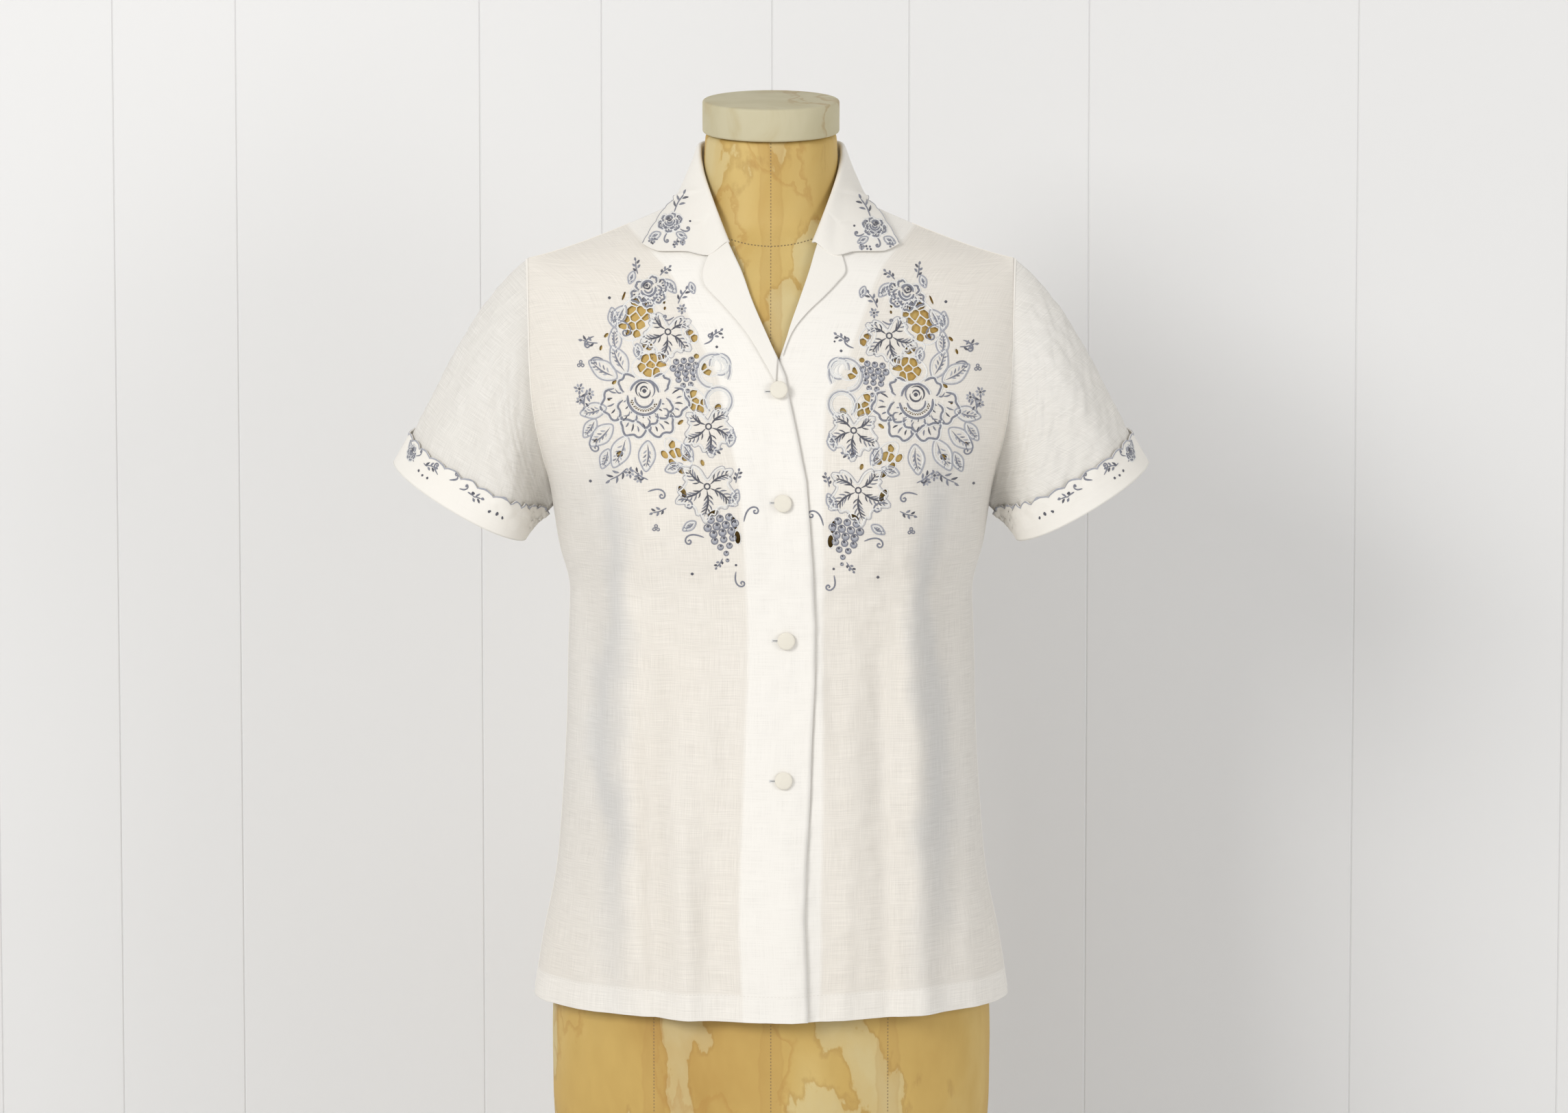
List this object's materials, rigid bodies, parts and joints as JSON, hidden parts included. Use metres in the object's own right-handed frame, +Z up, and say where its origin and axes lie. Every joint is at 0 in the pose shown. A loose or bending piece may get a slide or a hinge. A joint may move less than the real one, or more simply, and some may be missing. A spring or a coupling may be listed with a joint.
{
  "type": "embroidered cutwork blouse on a limbless dress form",
  "caption": "Short-sleeved embroidered blouse with a camp collar, scalloped cuffs and cutwork fronts, buttoned on a limbless dress form on a round stand.",
  "frame": {"origin": "centre of the bounding box at the ground, under the middle of the stand's base", "axes": "+Z up along the stand, the blouse's front faces -Y, the wearer's left is +X"},
  "size_m": [0.5858, 0.3, 1.0311],
  "materials": {
    "linen": "sheer plain weave, off-white",
    "facing": "doubled plain weave, off-white",
    "button": "cloth-covered, cream",
    "form_cloth": "aged, stained ochre covering",
    "form_cap": "aged, matt",
    "iron": "dark, satin"
  },
  "bodies": {
    "root": {"front_right": "linen", "front_left": "linen", "back": "linen", "sleeve_right": "linen", "sleeve_left": "linen", "cuff_right": "facing", "cuff_left": "facing", "collar": "facing", "lapel_right": "facing", "lapel_left": "facing", "button_1": "button", "button_2": "button", "button_3": "button", "button_4": "button", "form_torso": "form_cloth", "form_neck_cap": "form_cap", "form_post": "iron", "form_base": "iron"}
  },
  "joints": []
}
